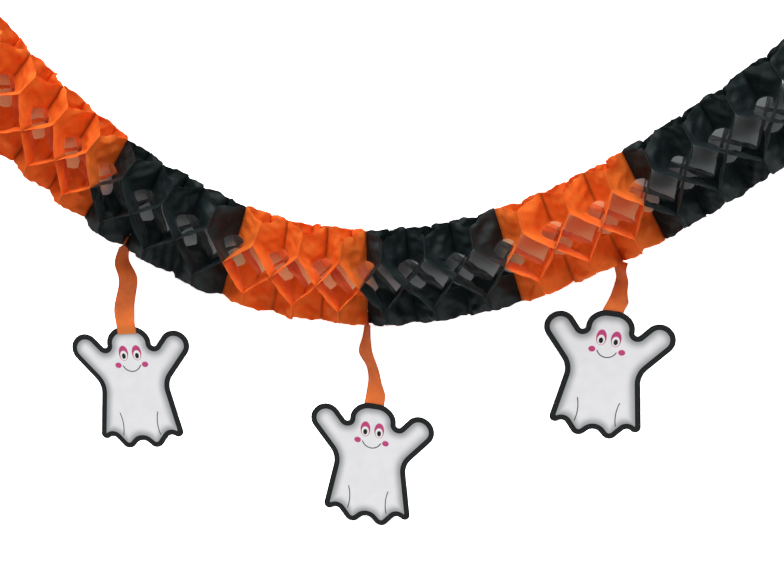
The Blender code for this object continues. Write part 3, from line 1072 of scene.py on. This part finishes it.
def backdrop(middle, wall_y, floor_z, eye):
    """Wall, cove and floor in one sheet, with a painted shadow in the strip that the garland hides.

    The strip follows the centre line as it falls on the wall from the eye. A sine wave along the seams
    says where painted orange light warms the shadow, which is behind the orange sections.
    """
    points = backdrop_points(middle, wall_y, floor_z)
    line = HangingLine()
    seams = np.linspace(1 - PERIODS / 2, PERIODS / 2 - 1, HIDDEN_STEPS)
    centre = np.array([line.frame(seam)[0] + line.lowest for seam in seams])
    centre = eye + (centre - eye) * (wall_y - eye[1]) / (centre[:, 1:2] - eye[1])
    away = np.linalg.norm(points[..., None, [0, 2]] - centre[:, [0, 2]], axis=-1)
    # painted shadow: 1 in the strip that the garland hides, fading to 0 outside it
    hidden = smooth((HIDDEN_REACH + HIDDEN_FADE - away.min(axis=-1)) / HIDDEN_FADE)
    seam = np.clip(seams[away.argmin(axis=-1)], -LAST_CHANGE, LAST_CHANGE)
    # painted orange light: 1 behind the orange sections and 0 behind the black
    warm = smooth(0.5 - SECTION_CHANGE * np.sin(np.pi * seam / SECTION_PERIODS))
    attributes = {"hidden": hidden, "warm": warm}
    faces = grid_faces(*points.shape[:2])
    sheet = new_piece("backdrop", points, faces, wall_finish(), attributes, body=None)


def studio_world(scene):
    """A faint even light, which is white where the camera or a glossy surface sees it."""
    world = bpy.data.worlds.new("studio")
    world.use_nodes = True
    tree = world.node_tree
    background = tree.nodes["Background"]
    background.inputs["Color"].default_value = (1, 1, 1, 1)
    rays = tree.nodes.new("ShaderNodeLightPath")
    seen = Socket(tree, rays.outputs["Is Camera Ray"]).larger(Socket(tree, rays.outputs["Is Glossy Ray"]))
    strength = seen * (1 - WORLD_STRENGTH) + WORLD_STRENGTH
    tree.links.new(strength.output, background.inputs["Strength"])
    scene.world = world


class GARLAND_OT_stage(bpy.types.Operator):
    """Make the backdrop, lamps and camera"""

    bl_idname = "garland.stage"
    bl_label = "Stage"

    def execute(self, context):
        stage = settings().stage
        scene = context.scene
        scene.view_settings.view_transform = "Standard"
        low, high = (Vector(corner) for corner in CAD_BOX)
        middle = (low + high) / 2
        look = Vector(HangingLine().lowest) + Vector((stage.look_right, 0, stage.look_up))
        level = math.cos(stage.elevation)
        forward = -math.cos(stage.azimuth) * level
        back = Vector((math.sin(stage.azimuth) * level, forward, math.sin(stage.elevation)))
        eye = look + back * stage.distance
        backdrop(middle, high.y + stage.gap, low.z - stage.floor, np.array(eye))
        for name, (place, size, power) in LAMPS.items():
            soft_lamp(name, middle, place, size, power)
        studio_world(scene)
        lens = bpy.data.cameras.new("camera")
        lens.sensor_fit = "HORIZONTAL"
        lens.sensor_width = SENSOR_WIDTH
        lens.lens = SENSOR_WIDTH * stage.distance / (stage.pixel * PHOTO_WIDTH)
        scene.camera = aimed("camera", lens, eye, back)
        return {"FINISHED"}


class GARLAND_PT_panel(bpy.types.Panel):
    """Buttons that make the garland's pieces"""

    bl_idname = "GARLAND_PT_panel"
    bl_label = "Paper garland"
    bl_space_type = "VIEW_3D"
    bl_region_type = "UI"
    bl_category = "Garland"

    def draw(self, context):
        for operator in OPERATORS:
            self.layout.operator(operator.bl_idname)
        for group in ("line", "tissue", "ribbon", "card", "stage"):
            box = self.layout.box()
            chosen = getattr(context.scene.garland, group)
            for key in chosen.__annotations__:
                box.prop(chosen, key)


OPERATORS = (
    GARLAND_OT_tissue,
    GARLAND_OT_end_cards,
    GARLAND_OT_ribbons,
    GARLAND_OT_ghost_cards,
    GARLAND_OT_stage,
)
CLASSES = (
    LineSettings,
    TissueSettings,
    RibbonSettings,
    CardSettings,
    StageSettings,
    GarlandSettings,
    *OPERATORS,
    GARLAND_PT_panel,
)


def register():
    for each in CLASSES:
        bpy.utils.register_class(each)
    bpy.types.Scene.garland = PointerProperty(type=GarlandSettings)


def unregister():
    del bpy.types.Scene.garland
    for each in reversed(CLASSES):
        bpy.utils.unregister_class(each)


def main():
    register()
    bpy.ops.garland.tissue()
    bpy.ops.garland.end_cards()
    bpy.ops.garland.ribbons()
    bpy.ops.garland.ghost_cards()
    bpy.ops.garland.stage()


if __name__ == "__main__":
    main()
